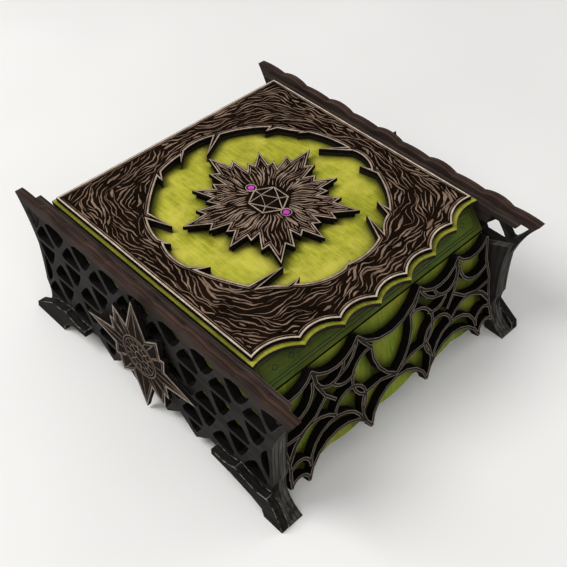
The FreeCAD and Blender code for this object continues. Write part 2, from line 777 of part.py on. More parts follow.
def drawer_back():
    wall = box(-DRAWER_INNER_X, DRAWER_INNER_X, DRAWER_BACK - SHEET, DRAWER_BACK, DRAWER_FOOT, DRAWER_TOP)
    left = finger_blocks(-DRAWER_X, -DRAWER_INNER_X, DRAWER_BACK - SHEET, DRAWER_BACK,
                         DRAWER_FOOT, DRAWER_TOP, 1)
    return joined([wall] + left + [mirrored(block) for block in left])


def drawer_bottom():
    profile = [
        (front_back_y(DRAWER_FOOT), DRAWER_FOOT), (DRAWER_BACK - SHEET, DRAWER_FOOT),
        (DRAWER_BACK - SHEET, DRAWER_FLOOR), (front_back_y(DRAWER_FLOOR), DRAWER_FLOOR),
    ]
    return across(profile, -DRAWER_INNER_X, DRAWER_INNER_X)


# ---------------------------------------------------------------- the chest
def build():
    nodes = {}
    for name, shape in (
        ("lattice_panel", lattice_panel()), ("rail_backer", rail_backer()), ("sill", sill()),
        ("box_side", box_side()), ("drawer_side", drawer_side()), ("hinge_lug", hinge_lug()),
        ("hinge_pin", hinge_pin()), ("column_front", column_front()), ("column_back", column_back()),
        ("foot_pad_front", foot_pad(FRONT_SOLE, False)),
        ("foot_pad_back", back_of(foot_pad(BACK_SOLE, False))),
        ("star_backing", star_layer(EMBLEM_X, STAR_BACKING, SHEET)),
        ("star_face", star_layer(EMBLEM_X + SHEET, 1.0, SHEET - ENGRAVING)),
    ):
        nodes[name + "_left"] = shape
        nodes[name + "_right"] = mirrored(shape)
    nodes["foot_pad_front_left"] = foot_pad(FRONT_SOLE, True)

    nodes["box_back"] = box_back()
    nodes["box_floor"] = box_floor()
    nodes["fascia"] = fascia()
    nodes["tray_floor"] = tray_floor()
    nodes["tray_front"] = tray_front()
    long_ones, cross_ones = divider_rows(-INNER_X, INNER_X, TRAY_FRONT_BACK, BACK_INNER, TRAY_TOP,
                                         TRAY_COLUMNS, TRAY_ROWS)
    for index, shape in enumerate(long_ones):
        nodes["tray_divider_long_%d" % (index + 1)] = shape
    for index, shape in enumerate(cross_ones):
        nodes["tray_divider_cross_%d" % (index + 1)] = shape

    nodes["lid_relief"] = lid_relief()
    nodes["lid_frame"] = lid_frame()
    nodes["lid_board"] = lid_board()
    nodes["medallion_face"] = medallion_face()
    nodes["medallion_backing"] = medallion_backing()
    for name, place in zip(("gem_front", "gem_back"), gem_places()):
        nodes[name] = gem(place)

    nodes["drawer_front"] = drawer_front()
    nodes["drawer_web"] = drawer_web()
    nodes["drawer_back"] = drawer_back()
    nodes["drawer_bottom"] = drawer_bottom()
    long_ones, cross_ones = divider_rows(-DRAWER_INNER_X, DRAWER_INNER_X,
                                         front_back_y(DRAWER_FLOOR + DIVIDER_HEIGHT),
                                         DRAWER_BACK - SHEET, DRAWER_FLOOR,
                                         DRAWER_COLUMNS, DRAWER_ROWS)
    for index, shape in enumerate(long_ones):
        nodes["drawer_divider_long_%d" % (index + 1)] = shape
    for index, shape in enumerate(cross_ones):
        nodes["drawer_divider_cross_%d" % (index + 1)] = shape
    return nodes


def main():
    os.makedirs("parts", exist_ok=True)
    for name, shape in build().items():
        shape.exportStep("parts/%s.step" % name)
        print(name, len(shape.Solids), "solid", round(shape.Volume / 1000, 2), "cm3",
              "valid" if shape.isValid() else "NOT VALID")


main()
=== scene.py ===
"""Looks of the dice storage chest: stained plywood, engraved bark, burnt edges and a studio around it."""
import bpy
import math
import random
from mathutils import Matrix, Vector, noise


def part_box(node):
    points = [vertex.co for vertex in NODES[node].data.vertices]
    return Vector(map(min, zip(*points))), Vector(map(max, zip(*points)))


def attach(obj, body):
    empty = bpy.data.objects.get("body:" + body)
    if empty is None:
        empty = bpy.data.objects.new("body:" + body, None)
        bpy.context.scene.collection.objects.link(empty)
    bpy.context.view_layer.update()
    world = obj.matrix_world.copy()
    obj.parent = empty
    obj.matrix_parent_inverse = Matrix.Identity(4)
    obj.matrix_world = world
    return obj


MM = 0.001
UP = Vector((0, 0, 1))
LEFT = Vector((-1, 0, 0))
RIGHT = Vector((1, 0, 0))
BACK = Vector((0, 1, 0))

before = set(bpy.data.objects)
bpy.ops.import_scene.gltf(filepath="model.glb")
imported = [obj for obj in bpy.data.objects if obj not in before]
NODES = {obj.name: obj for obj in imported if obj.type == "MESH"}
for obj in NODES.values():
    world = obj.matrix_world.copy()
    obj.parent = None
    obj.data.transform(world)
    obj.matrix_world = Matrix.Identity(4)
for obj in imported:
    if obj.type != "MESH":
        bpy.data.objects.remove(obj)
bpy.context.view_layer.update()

# ---------------------------------------------------------------- sizes of the chest
SHEET = 3.0 * MM                         # one sheet of plywood
WALL_FACE = 103.0 * MM                   # outer face of the box walls, from the chest's middle
PANEL_INNER = 109.0 * MM                 # inner and outer face of the lattice panels
PANEL_OUTER = 115.0 * MM
PANEL_WAIST = 116.2 * MM                 # narrowest place of the panels' ends, in front and behind
RAIL_MIDDLE = 100.5 * MM                 # heights on the panels' rails
RAIL_CREST = 106.2 * MM

# ---------------------------------------------------------------- lines left standing by the engraving
RIDGE_HEIGHT = 0.2 * MM
RIDGE_TOP = 0.6                          # share of a line's width that is flat on top
BAND_SLOPE = 0.2                         # share of an edge line's width that slopes, on each side
TAPER_TIP = 0.15                         # steps that a pointed end is cut short by
TAPER_POWER = 0.6                        # below 1, ends are blunter than a sine's
UNEVEN_BUMPS = 5.0 * MM                  # length of the swellings along a line
EDGE_LINE = (0.2 * MM, 1.4 * MM)         # from the sheet's edge: outer and inner side of the light line
CONTOUR = 2.5 * MM                       # from the sheet's edge to the contour line inside it
CONTOUR_WIDTH = 0.8 * MM
CONTOUR_UNEVEN = 0.7                     # share of its width by which a line swells and thins
BARK_MARGIN = 3.7 * MM                   # edge to the nearest bark ridge
BARK_SPACING = 2.3 * MM
BARK_WIDTH = (0.4 * MM, 1.2 * MM)
BARK_PATCH = 24.0 * MM                   # size of the places where the bark's lines are broad
BARK_CONTRAST = (2.6, 0.1)               # factor and offset of the noise that makes them so
ROUND_POWER = 2.0                        # the bark follows circles near the opening,
SQUARE_POWER = 6.0                       # and rounded squares near the lid's sides
SQUARE_FROM = 0.8                        # shares of the way to the sides: where the change begins,
SQUARE_OVER = 0.35                       # and how long it takes
FLOW_STEP = 1.1 * MM                     # between the points of one line
FLOW_ENDING = (0.3, 0.75)                # shares of the spacing at which a line ends beside another
SHORTEST_LINE = 4                        # points
WIDENING = 0.36                          # share of the spacing that a broad line gains
UNEVEN_THIN = 0.8
UNEVEN_BROAD = 0.3
BROAD_WIDTH = (1.5 * MM, 2.6 * MM)       # short broad patches among the lines
BROAD_UNEVEN = 0.9
BROAD_GUARD = 0.9 * MM                   # kept free beside them
BROAD_STEPS = 8
LEDGE_LINE = (0.3 * MM, 0.9 * MM)
LEDGE_LINE_HEIGHT = 0.1 * MM
FLOW_CENTRE = Vector((0, 7.0 * MM, 0))   # middle of the lid's opening
FLOW_EXTENT = 100.0 * MM                 # and its way to the lid's sides
# Bends of the lines, from broad to fine: radians, size of the bumps, and seed
BARK_BENDS = ((1.0, 18.0 * MM, 3.1), (0.8, 7.0 * MM, 7.7), (0.6, 3.0 * MM, 2.2))
FLAME_BENDS = ((0.9, 14.0 * MM, 1.7), (0.4, 5.0 * MM, 5.2))

BOSS_RADIUS = 13.5 * MM                  # line work in the middle of the medallion
BOSS_INNER = 0.52                        # its inner triangle against its outer corners
BOSS_CLEAR = 0.8 * MM                    # from it to the nearest flame
BOSS_WIDTHS = (1.0 * MM, 0.9 * MM, 0.7 * MM)     # of its outline, the triangle and the lines between
FLAME_MARGIN = 3.1 * MM                  # medallion's edge to the nearest flame
FLAME_SPACING = 1.8 * MM
FLAME_WIDTH = (0.4 * MM, 1.0 * MM)
FLAME_THIN = 33.0 * MM                   # from the middle to where the flames are thin,
FLAME_CHANGE = 22.0 * MM                 # and over how long they turn thin before it
FLAME_EDGE_LINE = (0.3 * MM, 1.2 * MM)
FLAME_CONTOUR = 2.3 * MM
FLAME_CONTOUR_MARGIN = 2.0 * MM
GEM_CLEAR = 1.7 * MM                     # from a gem to the nearest flame
GEM_RING = 0.8 * MM                      # from a gem to the ring round it
GEM_RING_WIDTH = 0.7 * MM
GEM_RING_STEPS = 20

STAR_OUTLINES = ((0.2 * MM, 1.4 * MM), (2.3 * MM, 3.0 * MM))
STAR_RINGS = ((16.4 * MM, 1.1 * MM), (14.2 * MM, 0.7 * MM), (9.0 * MM, 0.8 * MM), (4.0 * MM, 0.8 * MM))
STAR_RING_STEPS = 48
STAR_SPOKES = 8
STAR_RAY_STEPS = 5
STAR_SPOKE = (4.5 * MM, 14.0 * MM, 1.2 * MM)     # start, end and width
STAR_SHORT_SPOKE = (9.4 * MM, 13.8 * MM, 0.8 * MM)
STAR_RAY_START = 17.5 * MM
STAR_POINT_RAY = (0.86, 1.1 * MM)        # share of the way to a point, and width
STAR_NOTCH_RAY = (3.6 * MM, 0.9 * MM)    # short of a notch, and width
STAR_OUTER_NOTCH = 24.0 * MM             # nearer notches get no ray

FRAME_INSETS = (3.0 * MM, 5.0 * MM)      # double frame on the fascia
FRAME_CORNER = 2.2 * MM
FRAME_CORNER_STEPS = 3
LOZENGES = 14
LOZENGE = 2.4 * MM
LOZENGE_FLATTENED = 0.8
LOZENGE_END = 9.0 * MM                   # end of their row to the end of the fascia
ENGRAVED_LINE = 0.6 * MM
ENGRAVED_HEIGHT = 0.05 * MM
WEB_LINE = (0.12 * MM, 0.62 * MM)
WEB_LINE_HEIGHT = 0.12 * MM


def srgb(red, green, blue):
    """A display colour, 0 to 255, as the linear colour that shaders take."""
    def linear(value):
        value /= 255.0
        return value / 12.92 if value <= 0.04045 else ((value + 0.055) / 1.055) ** 2.4
    return (linear(red), linear(green), linear(blue), 1.0)


# ---------------------------------------------------------------- materials
SIDEWAYS = (1, 0, 0)
UPRIGHT = (0, 0, 1)
BACKWARD = (0, 1, 0)
FRONTWARD = (0, -1, 0)
GRAIN_ALONG_X = (0.06, 1, 1)             # stretch of the grain's noise in green boards
GRAIN_ALONG_Y = (1, 0.06, 1)
GRAIN_DOWN_SLOPE = (1, 0.06, 0.06)
STREAKS_ALONG_X = (0.07, 1, 1)           # and in black ones
STREAKS_ALONG_Y = (1, 0.07, 1)
STREAKS_ALONG_Z = (1, 1, 0.07)
BLACK = (0.0, 0.0, 0.0, 1.0)
WHITE = (1.0, 1.0, 1.0, 1.0)
# painted shade: the dark green laid into corners and beside standing parts
PAINTED_SHADE_GREEN = srgb(30, 32, 10)
RUBBED_GREEN = srgb(34, 34, 16)
BUMP_DISTANCE = 0.2 * MM
GRAIN_RANGE = (0.36, 0.64)               # mixed noise at the dark and at the light colour
EDGE_COSINE = 0.8                        # steeper to a sheet's face than this is its cut edge
GLUE_FADE = (0.16, 0.04)                 # shares of a sheet from a glue line
WORN_FADE = (0.98, 0.75)                 # cosines of a rounded edge to the flat faces beside it
# painted shade begins below the first open share and is full at the second
PAINTED_SHADE_FADE = (0.97, 0.5)                # open shares of the surroundings


class Shader:
    """Short names for building one node material."""

    def __init__(self, name):
        self.material = bpy.data.materials.new(name)
        self.material.use_nodes = True
        self.tree = self.material.node_tree
        self.surface = self.tree.nodes["Principled BSDF"]
        self.coords = self.tree.nodes.new("ShaderNodeTexCoord")

    def node(self, kind, **settings):
        made = self.tree.nodes.new(kind)
        for key, value in settings.items():
            setattr(made, key, value)
        return made

    def link(self, source, target):
        self.tree.links.new(source, target)

    def noise(self, scale, stretch=(1, 1, 1), detail=4.0, roughness=0.55):
        mapping = self.node("ShaderNodeMapping")
        mapping.inputs["Scale"].default_value = stretch
        self.link(self.coords.outputs["Object"], mapping.inputs["Vector"])
        texture = self.node("ShaderNodeTexNoise")
        texture.inputs["Scale"].default_value = scale
        texture.inputs["Detail"].default_value = detail
        texture.inputs["Roughness"].default_value = roughness
        self.link(mapping.outputs["Vector"], texture.inputs["Vector"])
        return texture.outputs["Fac"]

    def grain(self, streaks, clouds, share):
        """Streaks and clouds mixed, by the share of the streaks."""
        return self.math("ADD", self.math("MULTIPLY", streaks, share),
                         self.math("MULTIPLY", clouds, round(1 - share, 3)))

    def between(self, factor, dark, light):
        """From the dark colour to the light one, over the range that mixed noise has."""
        return self.ramp(factor, list(zip(GRAIN_RANGE, (dark, light))))

    def ramp(self, factor, stops):
        made = self.node("ShaderNodeValToRGB")
        elements = made.color_ramp.elements
        elements[0].position, elements[0].color = stops[0]
        elements[1].position, elements[1].color = stops[-1]
        for position, colour in stops[1:-1]:
            elements.new(position).color = colour
        self.link(factor, made.inputs["Fac"])
        return made.outputs["Color"]

    def math(self, operation, first, second=None):
        made = self.node("ShaderNodeMath", operation=operation)
        for socket, value in zip(made.inputs, (first, second)):
            if isinstance(value, (int, float)):
                socket.default_value = value
            elif value is not None:
                self.link(value, socket)
        return made.outputs[0]

    def mix(self, factor, first, second):
        made = self.node("ShaderNodeMix", data_type="RGBA")
        sockets = (made.inputs[0], made.inputs[6], made.inputs[7])
        for socket, value in zip(sockets, (factor, first, second)):
            if isinstance(value, (int, float, tuple)):
                socket.default_value = value
            else:
                self.link(value, socket)
        return made.outputs[2]

    def along(self, source, direction):
        """The texture coordinate's reach along a direction."""
        dot = self.node("ShaderNodeVectorMath", operation="DOT_PRODUCT")
        self.link(self.coords.outputs[source], dot.inputs[0])
        dot.inputs[1].default_value = direction
        return dot.outputs["Value"]

    def fade(self, value, zero_at, one_at, **settings):
        """0 up to one level of the value, 1 from the other on, and even in between."""
        made = self.node("ShaderNodeMapRange", **settings)
        made.inputs["From Min"].default_value = zero_at
        made.inputs["From Max"].default_value = one_at
        self.link(value, made.inputs["Value"])
        return made.outputs["Result"]

    def sheet_edge(self, face):
        """1 on the cut edges of a sheet whose faces look along the direction, and 0 on those faces."""
        return self.math("LESS_THAN", self.math("ABSOLUTE", self.along("Normal", face)), EDGE_COSINE)

    def glue_lines(self, face, start):
        """1 along the joints between 3 mm sheets on a cut edge, fading to 0 in the middle of each sheet."""
        sheets = self.math("DIVIDE", self.math("SUBTRACT", self.along("Object", face), start), SHEET)
        return self.fade(self.math("PINGPONG", sheets, 0.5), *GLUE_FADE)

    def above(self, direction, level, soft):
        """1 where the place along a direction lies beyond a level."""
        return self.fade(self.along("Object", direction), level - soft, level + soft)

    def worn(self, radius):
        """1 along sharp edges, fading within the radius."""
        bevel = self.node("ShaderNodeBevel", samples=6)
        bevel.inputs["Radius"].default_value = radius
        geometry = self.node("ShaderNodeNewGeometry")
        dot = self.node("ShaderNodeVectorMath", operation="DOT_PRODUCT")
        self.link(bevel.outputs["Normal"], dot.inputs[0])
        self.link(geometry.outputs["Normal"], dot.inputs[1])
        return self.fade(dot.outputs["Value"], *WORN_FADE)

    def painted_shade(self, distance):
        """Painted shade: 1 in corners and beside standing edges, where ambient occlusion finds the
        surroundings closed, and 0 in the open.
        """
        made = self.node("ShaderNodeAmbientOcclusion", samples=8)
        made.inputs["Distance"].default_value = distance
        return self.fade(made.outputs["AO"], *PAINTED_SHADE_FADE)

    def bump(self, height, strength):
        made = self.node("ShaderNodeBump")
        made.inputs["Strength"].default_value = strength
        made.inputs["Distance"].default_value = BUMP_DISTANCE
        self.link(height, made.inputs["Height"])
        self.link(made.outputs["Normal"], self.surface.inputs["Normal"])

    def finish(self, colour, roughness, specular):
        self.link(colour, self.surface.inputs["Base Color"])
        self.surface.inputs["Roughness"].default_value = roughness
        self.surface.inputs["Specular IOR Level"].default_value = specular
        return self.material


def stained_board(name, dark, light, patch, face, stretch, painted_shade_reach=6.0 * MM):
    """Stained plywood: streaks and patches on the faces, painted shade in corners and beside standing parts,
    and burnt, nearly black cut edges.
    """
    shader = Shader(name)
    streaks = shader.noise(420, stretch, detail=6.0, roughness=0.65)
    clouds = shader.noise(28, detail=3.0)
    shorter = tuple(min(1.0, 2 * share) for share in stretch)
    fine = shader.noise(1400, shorter, detail=3.0, roughness=0.6)
    grain = shader.math("ADD", shader.math("MULTIPLY", streaks, 0.35), shader.math("MULTIPLY", clouds, 0.3))
    grain = shader.math("ADD", grain, shader.math("MULTIPLY", fine, 0.35))
    colour = shader.ramp(grain, [(0.36, dark), (0.62, light)])
    patches = shader.ramp(shader.noise(38, detail=5.0, roughness=0.65), [(0.44, BLACK), (0.62, WHITE)])
    colour = shader.mix(shader.math("MULTIPLY", patches, 0.6), colour, patch)
    # painted shade from ambient occlusion, such as under the lid's edge and beside the web's threads
    painted_shade = shader.math("MULTIPLY", shader.painted_shade(painted_shade_reach), 0.9)
    colour = shader.mix(painted_shade, colour, PAINTED_SHADE_GREEN)
    burnt = shader.ramp(streaks, [(0.3, srgb(14, 13, 11)), (0.7, srgb(34, 29, 22))])
    colour = shader.mix(shader.sheet_edge(face), colour, burnt)
    rim = shader.math("MULTIPLY", shader.worn(0.45 * MM), 0.55)
    colour = shader.mix(rim, colour, RUBBED_GREEN)
    shader.bump(streaks, 0.25)
    return shader.finish(colour, roughness=0.6, specular=0.08)


def bark_ground():
    """The engraved, nearly black ground between the bark ridges."""
    shader = Shader("bark_ground")
    clouds = shader.noise(60, detail=5.0, roughness=0.6)
    fine = shader.noise(420, detail=3.0)
    colour = shader.ramp(clouds, [(0.35, srgb(13, 8, 4)), (0.65, srgb(29, 18, 11))])
    colour = shader.mix(shader.math("MULTIPLY", fine, 0.35), colour, srgb(12, 8, 6))
    burnt = shader.ramp(fine, [(0.3, srgb(9, 8, 7)), (0.7, srgb(24, 20, 17))])
    colour = shader.mix(shader.sheet_edge(UPRIGHT), colour, burnt)
    shader.bump(fine, 0.5)
    return shader.finish(colour, roughness=0.85, specular=0.01)


def ridge(name, dark, light):
    """Wood left standing by the engraving, paler where it is rubbed."""
    shader = Shader(name)
    clouds = shader.noise(110, detail=4.0, roughness=0.6)
    fine = shader.noise(800, detail=2.0)
    colour = shader.between(shader.grain(clouds, fine, 0.75), dark, light)
    shader.bump(fine, 0.3)
    return shader.finish(colour, roughness=0.6, specular=0.2)


def charcoal(name, stretch, dark, light, face, start, edge_dark, edge_light, rub_and_highlight_colour, rub_and_highlight_radius,
             rub_and_highlight_share):
    """Black-stained plywood: streaked faces, burnt edges with glue lines, and rubbed or burnt corners; the
    feet's bright rubbed corners are partly painted highlight.
    """
    shader = Shader(name)
    streaks = shader.noise(330, stretch, detail=5.0, roughness=0.6)
    clouds = shader.noise(45, detail=4.0)
    grain = shader.grain(streaks, clouds, 0.7)
    colour = shader.between(grain, dark, light)
    edge = shader.between(grain, edge_dark, edge_light)
    edge = shader.mix(shader.math("MULTIPLY", shader.glue_lines(face, start), 0.75), edge, srgb(16, 14, 14))
    colour = shader.mix(shader.sheet_edge(face), colour, edge)
    patches = shader.ramp(shader.noise(200), [(0.44, BLACK), (0.6, WHITE)])
    # rubbed corners; on the feet this is partly painted highlight
    rub_and_highlight = shader.math("MULTIPLY", shader.worn(rub_and_highlight_radius), patches)
    colour = shader.mix(shader.math("MULTIPLY", rub_and_highlight, rub_and_highlight_share), colour, rub_and_highlight_colour)
    shader.bump(streaks, 0.3)
    return shader.finish(colour, roughness=0.7, specular=0.02)


def lattice_board():
    """The side panels: charcoal faces, black openings, plum-brown rail edge and grey outer edges."""
    shader = Shader("lattice")
    streaks = shader.noise(240, STREAKS_ALONG_Y, detail=5.0, roughness=0.6)
    clouds = shader.noise(45, detail=4.0)
    grain = shader.grain(streaks, clouds, 0.6)
    colour = shader.between(grain, srgb(23, 22, 21), srgb(46, 43, 41))
    plum = shader.between(grain, srgb(36, 27, 24), srgb(72, 54, 46))
    plum_share = shader.math("MULTIPLY", shader.above(UPRIGHT, RAIL_MIDDLE, 3.0 * MM), 0.6)
    colour = shader.mix(plum_share, colour, plum)
    black = shader.between(grain, srgb(9, 8, 8), srgb(22, 20, 19))
    upright = shader.noise(260, STREAKS_ALONG_Z, roughness=0.6)
    grey = shader.between(upright, srgb(36, 35, 34), srgb(80, 78, 74))
    rail = shader.above(UPRIGHT, RAIL_CREST, 0.4 * MM)
    front = shader.above(FRONTWARD, PANEL_WAIST, 0.2 * MM)
    back = shader.above(BACKWARD, PANEL_WAIST, 0.2 * MM)
    edge = shader.mix(shader.math("MAXIMUM", front, back), black, grey)
    edge = shader.mix(rail, edge, plum)
    glue = shader.math("MULTIPLY", shader.glue_lines(SIDEWAYS, PANEL_INNER), 0.8)
    edge = shader.mix(glue, edge, srgb(14, 12, 12))
    colour = shader.mix(shader.sheet_edge(SIDEWAYS), colour, edge)
    burnt = shader.math("MULTIPLY", shader.worn(0.55 * MM), 0.45)
    colour = shader.mix(burnt, colour, srgb(20, 18, 18))
    shader.bump(streaks, 0.3)
    return shader.finish(colour, roughness=0.6, specular=0.04)


def gem_stone():
    shader = Shader("gem_stone")
    clouds = shader.noise(500, detail=2.0)
    colour = shader.ramp(clouds, [(0.3, srgb(146, 8, 134)), (0.7, srgb(204, 26, 188))])
    shader.surface.inputs["Coat Weight"].default_value = 0.5
    shader.surface.inputs["Coat Roughness"].default_value = 0.06
    return shader.finish(colour, roughness=0.25, specular=0.4)


def steel_pin():
    shader = Shader("steel_pin")
    rings = shader.noise(700, (0.05, 1, 1), detail=3.0)
    colour = shader.ramp(rings, [(0.3, srgb(150, 150, 150)), (0.7, srgb(196, 194, 190))])
    shader.surface.inputs["Metallic"].default_value = 1.0
    shader.bump(rings, 0.1)
    return shader.finish(colour, roughness=0.32, specular=0.4)


def leaning_face(node):
    """The outward direction of a leaning front and its distance, from its own largest face."""
    mesh = NODES[node].data
    largest = max(mesh.polygons, key=lambda poly: poly.area)
    normal = largest.normal.copy()
    if normal.y > 0:
        normal = -normal
    return normal, max(vertex.co.dot(normal) for vertex in mesh.vertices)


FRONT_OUT, FRONT_LEVEL = leaning_face("drawer_front")
FASCIA_OUT = leaning_face("fascia")[0]

# the last number of a stained board is how far its painted shade reaches
LOOKS = {
    "lid_green": stained_board("lid_green", srgb(118, 120, 24), srgb(180, 178, 58), srgb(200, 190, 80),
                               UPRIGHT, GRAIN_ALONG_Y, 8.0 * MM),
    # painted shade: the drawer front's green is darker than the lid's, for the shade that the front lies in
    "front_green_shaded": stained_board("front_green_shaded", srgb(70, 86, 20), srgb(122, 138, 40), srgb(128, 124, 40),
                                 tuple(FRONT_OUT), GRAIN_DOWN_SLOPE, 9.0 * MM),
    # painted shade: the fascia's green is darker still, for the shade under the lid
    "fascia_green_shaded": stained_board("fascia_green_shaded", srgb(42, 58, 16), srgb(80, 98, 34), srgb(80, 86, 26),
                                  tuple(FASCIA_OUT), GRAIN_ALONG_X, 18.0 * MM),
    "side_green": stained_board("side_green", srgb(78, 90, 22), srgb(128, 138, 42), srgb(128, 124, 42),
                                SIDEWAYS, GRAIN_ALONG_Y),
    "back_green": stained_board("back_green", srgb(78, 90, 22), srgb(128, 138, 42), srgb(128, 124, 42),
                                BACKWARD, GRAIN_ALONG_X),
    "floor_green": stained_board("floor_green", srgb(84, 96, 26), srgb(130, 140, 44), srgb(130, 126, 44),
                                 UPRIGHT, GRAIN_ALONG_Y),
    "bark": bark_ground(),
    "ridge": ridge("ridge", srgb(78, 58, 44), srgb(136, 113, 94)),
    "flame": ridge("flame", srgb(92, 72, 58), srgb(156, 133, 115)),
    "compass": ridge("compass", srgb(58, 46, 36), srgb(104, 86, 70)),
    # partly painted highlight: the bark sheet's pale outline is brighter than the other pale lines, for the
    # light on its left edge
    "edge_line": ridge("edge_line", srgb(146, 128, 112), srgb(204, 188, 170)),
    "rim_line": ridge("rim_line", srgb(122, 104, 90), srgb(174, 156, 138)),
    # painted shade: these pale lines on the web are darker than the others, for the shade that the drawer
    # front lies in
    "web_line_shaded": ridge("web_line_shaded", srgb(74, 66, 58), srgb(120, 108, 97)),
    "star_line": ridge("star_line", srgb(92, 82, 72), srgb(150, 140, 128)),
    "engraved": ridge("engraved", srgb(6, 8, 4), srgb(18, 22, 9)),
    "lattice": lattice_board(),
    "column": charcoal("column", STREAKS_ALONG_Z, srgb(26, 25, 24), srgb(50, 48, 46), SIDEWAYS, WALL_FACE,
                       srgb(30, 29, 28), srgb(92, 88, 83), srgb(104, 98, 92), 0.5 * MM, 0.3),
    "rail": charcoal("rail", STREAKS_ALONG_Y, srgb(28, 25, 24), srgb(54, 47, 44), SIDEWAYS, WALL_FACE,
                     srgb(34, 29, 27), srgb(72, 61, 55), srgb(100, 90, 84), 0.5 * MM, 0.3),
    # partly painted highlight: the feet's corners are paler and broader than wear alone, standing for glints
    # along their edges
    "foot": charcoal("foot", STREAKS_ALONG_Y, srgb(18, 18, 17), srgb(42, 40, 38), SIDEWAYS, PANEL_OUTER,
                     srgb(14, 14, 13), srgb(40, 38, 35), srgb(190, 185, 174), 1.0 * MM, 0.9),
    "star": charcoal("star", STREAKS_ALONG_Y, srgb(13, 10, 8), srgb(28, 21, 16), SIDEWAYS, PANEL_OUTER,
                     srgb(12, 10, 10), srgb(30, 26, 24), srgb(140, 128, 116), 0.4 * MM, 0.5),
    "web": charcoal("web", STREAKS_ALONG_X, srgb(24, 22, 18), srgb(48, 44, 37), tuple(FRONT_OUT), FRONT_LEVEL,
                    srgb(9, 9, 8), srgb(22, 20, 17), srgb(96, 86, 76), 0.4 * MM, 0.4),
    "gem": gem_stone(),
    "pin": steel_pin(),
}


def look_of(node):
    """The look of each CAD node, by the start of its name."""
    rules = [
        ("lid_relief", "bark"), ("medallion", "bark"), ("lid_", "lid_green"), ("hinge_lug", "side_green"),
        ("hinge_pin", "pin"), ("gem", "gem"), ("fascia", "fascia_green_shaded"), ("drawer_front", "front_green_shaded"),
        ("drawer_web", "web"), ("drawer_side", "side_green"), ("drawer_divider_cross", "side_green"),
        ("tray_divider_cross", "side_green"), ("box_side", "side_green"), ("box_floor", "floor_green"),
        ("tray_floor", "floor_green"), ("drawer_bottom", "floor_green"), ("foot_pad", "foot"),
        ("star_", "star"), ("lattice", "lattice"), ("column", "column"), ("rail", "rail"),
        ("sill", "rail"), ("", "back_green"),
    ]
    return next(look for start, look in rules if node.startswith(start))


def dress_nodes():
    for name, node in NODES.items():
        node.data.materials.clear()
        node.data.materials.append(LOOKS[look_of(name)])


# ---------------------------------------------------------------- outlines read from the solids
POINTS_PER_METRE = 50000    # corners that round to the same point are one
FACING = 0.99               # least cosine between a face and the side that it belongs to
FOLDED = 0.05               # below this, two edges nearly turn back on each other
MITRE_LIMIT = 0.4           # keeps the moved corner within 2.5 times the distance


def face_loops(node, normal):
    """Closed outlines of a sheet's face: each runs with the sheet on its left, seen from outside."""
    mesh = NODES[node].data
    following = {}
    places = {}

    def key(vertex):
        co = mesh.vertices[vertex].co
        name = tuple(round(value * POINTS_PER_METRE) for value in co)
        places.setdefault(name, co.copy())
        return name

    for poly in mesh.polygons:
        if poly.normal.dot(normal) > FACING:
            corners = [key(vertex) for vertex in poly.vertices]
            for start, end in zip(corners, corners[1:] + corners[:1]):
                if start in following.get(end, ()):
                    following[end].remove(start)
                elif start != end:
                    following.setdefault(start, []).append(end)
    loops = []
    for start in list(following):
        while following[start]:
            loop = [start]
            current = following[start].pop()
            while current != start and following.get(current):
                loop.append(current)
                current = following[current].pop()
            if current == start and len(loop) > 2:
                loops.append([places[name] for name in loop])
    return loops


def inset(loop, normal, distance):
    """The loop moved towards the sheet's inside, with pointed corners kept short."""
    moved = []
    for index, point in enumerate(loop):
        before = (point - loop[index - 1]).normalized()
        after = (loop[(index + 1) % len(loop)] - point).normalized()
        mitre = normal.cross(before) + normal.cross(after)
        if mitre.length < FOLDED:
            mitre = normal.cross(after)
        mitre.normalize()
        stretch = 1 / max(MITRE_LIMIT, mitre.dot(normal.cross(after)))
        moved.append(point + mitre * distance * stretch)
    return moved


